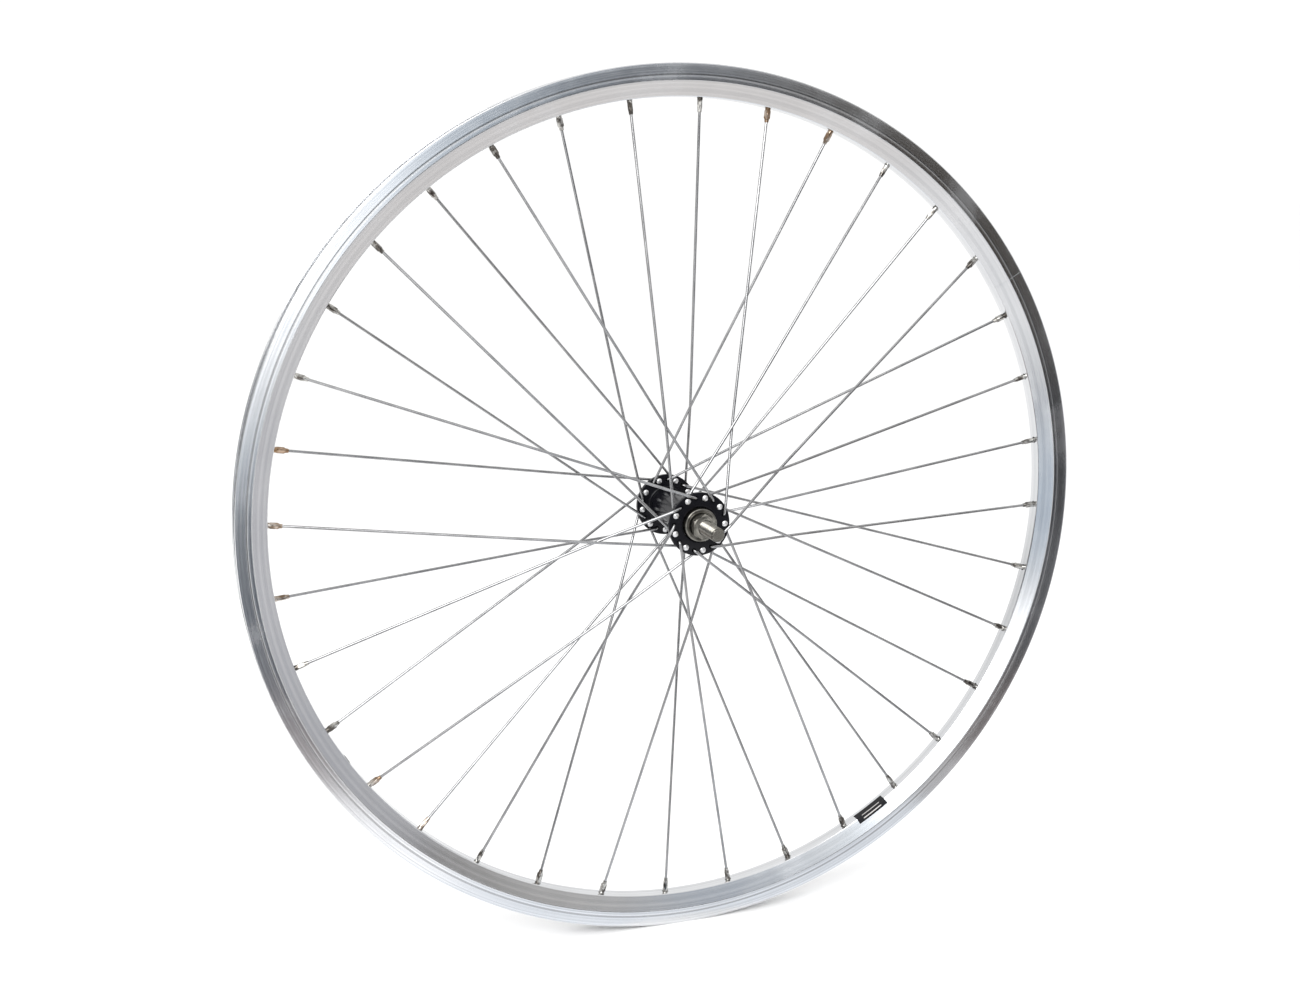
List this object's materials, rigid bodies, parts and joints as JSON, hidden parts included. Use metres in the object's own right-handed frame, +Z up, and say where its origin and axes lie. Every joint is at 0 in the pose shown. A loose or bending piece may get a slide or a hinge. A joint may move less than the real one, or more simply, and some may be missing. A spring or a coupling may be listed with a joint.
{
  "type": "bicycle wheel",
  "caption": "Bare front bicycle wheel: hollow aluminium rim, crossed wire spokes with nipples and a black hub turning on a solid threaded axle.",
  "frame": {"origin": "centre of the wheel, half way along the axle", "axes": "+Y along the axle towards the wheel's left side, +Z up, +X across the wheel"},
  "size_m": [0.6346, 0.15, 0.6346],
  "materials": {
    "rim_aluminium": "polished",
    "spoke_steel": "drawn wire",
    "nickel": "nickel plated",
    "hub_black": "gloss black",
    "axle_steel": "plain steel",
    "cap_steel": "zinc plated",
    "bearing_steel": "ground"
  },
  "bodies": {
    "axle_set": {"axle": "axle_steel", "right_cone": "bearing_steel", "right_lock_washer": "cap_steel", "right_locknut": "cap_steel", "left_cone": "bearing_steel", "left_lock_washer": "cap_steel", "left_locknut": "cap_steel"},
    "wheel": {"rim": "rim_aluminium", "nipples": "nickel", "hub_shell": "hub_black", "right_bearing_cup": "bearing_steel", "right_dust_cap": "cap_steel", "left_bearing_cup": "bearing_steel", "left_dust_cap": "cap_steel", "right_inner_spoke_1": "spoke_steel", "right_inner_spoke_2": "spoke_steel", "right_inner_spoke_3": "spoke_steel", "right_inner_spoke_4": "spoke_steel", "right_inner_spoke_5": "spoke_steel", "right_inner_spoke_6": "spoke_steel", "right_inner_spoke_7": "spoke_steel", "right_inner_spoke_8": "spoke_steel", "right_inner_spoke_9": "spoke_steel", "right_outer_spoke_1": "spoke_steel", "right_outer_spoke_2": "spoke_steel", "right_outer_spoke_3": "spoke_steel", "right_outer_spoke_4": "spoke_steel", "right_outer_spoke_5": "spoke_steel", "right_outer_spoke_6": "spoke_steel", "right_outer_spoke_7": "spoke_steel", "right_outer_spoke_8": "spoke_steel", "right_outer_spoke_9": "spoke_steel", "left_inner_spoke_1": "spoke_steel", "left_inner_spoke_2": "spoke_steel", "left_inner_spoke_3": "spoke_steel", "left_inner_spoke_4": "spoke_steel", "left_inner_spoke_5": "spoke_steel", "left_inner_spoke_6": "spoke_steel", "left_inner_spoke_7": "spoke_steel", "left_inner_spoke_8": "spoke_steel", "left_inner_spoke_9": "spoke_steel", "left_outer_spoke_1": "spoke_steel", "left_outer_spoke_2": "spoke_steel", "left_outer_spoke_3": "spoke_steel", "left_outer_spoke_4": "spoke_steel", "left_outer_spoke_5": "spoke_steel", "left_outer_spoke_6": "spoke_steel", "left_outer_spoke_7": "spoke_steel", "left_outer_spoke_8": "spoke_steel", "left_outer_spoke_9": "spoke_steel"},
    "right_ball_ring": {"right_balls": "bearing_steel"},
    "left_ball_ring": {"left_balls": "bearing_steel"}
  },
  "joints": [
    {"name": "wheel_spin", "type": "hinge", "parent": "axle_set", "child": "wheel", "pos_m": [0, 0, 0], "axis": [0, 1, 0], "continuous": true},
    {"name": "right_balls_spin", "type": "hinge", "parent": "axle_set", "child": "right_ball_ring", "pos_m": [0, -0.0334, 0], "axis": [0, 1, 0], "continuous": true},
    {"name": "left_balls_spin", "type": "hinge", "parent": "axle_set", "child": "left_ball_ring", "pos_m": [0, 0.0334, 0], "axis": [0, 1, 0], "continuous": true}
  ],
  "couplings": [
    {"joint": "right_balls_spin", "follows": "wheel_spin", "ratio": 0.6026},
    {"joint": "left_balls_spin", "follows": "wheel_spin", "ratio": 0.6026}
  ]
}
